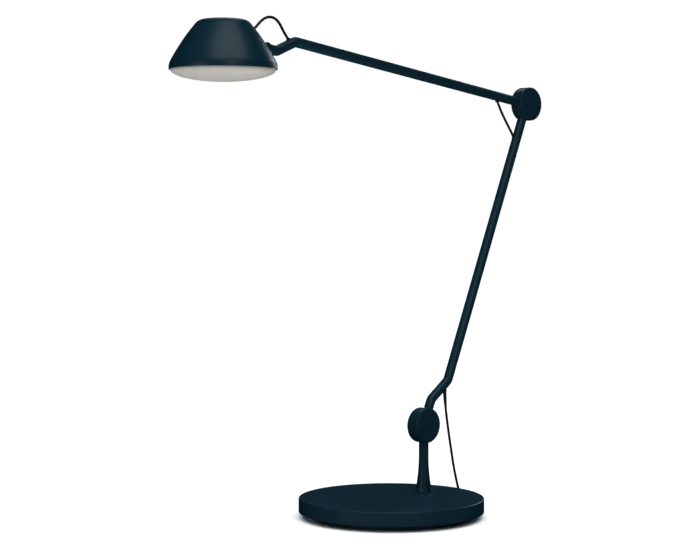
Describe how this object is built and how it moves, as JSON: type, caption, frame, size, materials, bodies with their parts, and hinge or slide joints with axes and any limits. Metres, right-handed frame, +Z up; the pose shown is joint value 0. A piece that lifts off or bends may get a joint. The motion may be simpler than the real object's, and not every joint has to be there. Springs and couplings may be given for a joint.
{
  "type": "architect desk lamp",
  "caption": "Desk lamp with a heavy round base, a fixed post, two tubular arms on flat disc hinges, and a tilting cone shade with an opal diffuser and a push-button dimmer on top.",
  "frame": {"origin": "centre of the base's underside, on the table", "axes": "+Z up; the arms fold in the XZ plane, elbow towards +X, shade towards -X; every hinge turns about an axis along Y"},
  "size_m": [0.6372, 0.2885, 0.6304],
  "materials": {
    "paint": "satin dark petrol blue powder coat",
    "cast_iron": "raw casting, oiled",
    "steel": "zinc plated",
    "aluminium": "turned, bare",
    "black_plastic": "fine moulded texture",
    "lead_jacket": "smooth black jacket",
    "pad": "felt-faced rubber sheet",
    "fibre": "pressed fibre",
    "opal": "opal diffusing acrylic, satin",
    "white_enamel": "matt white",
    "board": "lacquered circuit board",
    "brass": "plated pins"
  },
  "bodies": {
    "base": {"base_pad": "pad", "base_foot_plate": "paint", "base_ballast": "cast_iron", "base_cover": "paint", "base_screw_1": "steel", "base_screw_2": "steel", "base_screw_3": "steel", "base_screw_4": "steel", "post_bolt": "steel", "post_washer": "steel", "post": "paint", "lower_hinge_cap": "paint", "mains_lead": "lead_jacket", "mains_lead_coil": "lead_jacket", "mains_lead_tail": "lead_jacket", "plug_body": "black_plastic", "plug_pin_1": "brass", "plug_pin_2": "brass"},
    "lower_arm": {"lower_arm": "paint", "lower_hinge_stud": "steel", "lower_hinge_friction_washer": "fibre", "lower_hinge_spring_washer": "steel", "lower_hinge_nut": "steel", "elbow_stud": "steel", "elbow_friction_washer": "fibre", "elbow_spring_washer": "steel", "elbow_nut": "steel", "lower_arm_lead": "lead_jacket", "mains_strain_relief": "black_plastic", "lower_arm_grommet": "black_plastic", "elbow_lead": "lead_jacket"},
    "upper_arm": {"upper_arm": "paint", "elbow_cap": "paint", "upper_arm_lead": "lead_jacket", "upper_arm_grommet_rear": "black_plastic", "upper_arm_grommet_front": "black_plastic", "shade_hinge_screw": "steel", "shade_hinge_washer": "fibre", "shade_lead": "lead_jacket"},
    "shade": {"shade_shell": "paint", "shade_knuckle": "paint", "shade_neck_nut": "steel", "diffuser": "opal", "diffuser_ring": "white_enamel", "reflector": "white_enamel", "led_board": "white_enamel", "heat_sink": "aluminium", "led_board_screw_1": "steel", "led_board_screw_2": "steel", "led_board_screw_3": "steel", "driver_board": "board", "dimmer_switch": "black_plastic", "button_spring": "steel", "button_bezel": "paint", "shade_grommet": "black_plastic"},
    "button": {"dimmer_button": "paint"}
  },
  "joints": [
    {"name": "lower_hinge", "type": "hinge", "parent": "base", "child": "lower_arm", "pos_m": [0.0609, 0, 0.1137], "axis": [0, 1, 0], "range_deg": [-40, 35], "deforming": ["mains_lead"]},
    {"name": "elbow_hinge", "type": "hinge", "parent": "lower_arm", "child": "upper_arm", "pos_m": [0.2672, 0, 0.5424], "axis": [0, -1, 0], "range_deg": [-75, 30], "deforming": ["elbow_lead"]},
    {"name": "shade_tilt", "type": "hinge", "parent": "upper_arm", "child": "shade", "pos_m": [-0.218, 0, 0.5908], "axis": [0, 1, 0], "range_deg": [-45, 60], "deforming": ["shade_lead"]},
    {"name": "dimmer_push", "type": "slide", "parent": "shade", "child": "button", "axis": [0, 0, -1], "range_m": [0, 0.0012], "stiffness_N_per_m": 500, "springref_m": -0.001, "deforming": ["button_spring"]}
  ]
}
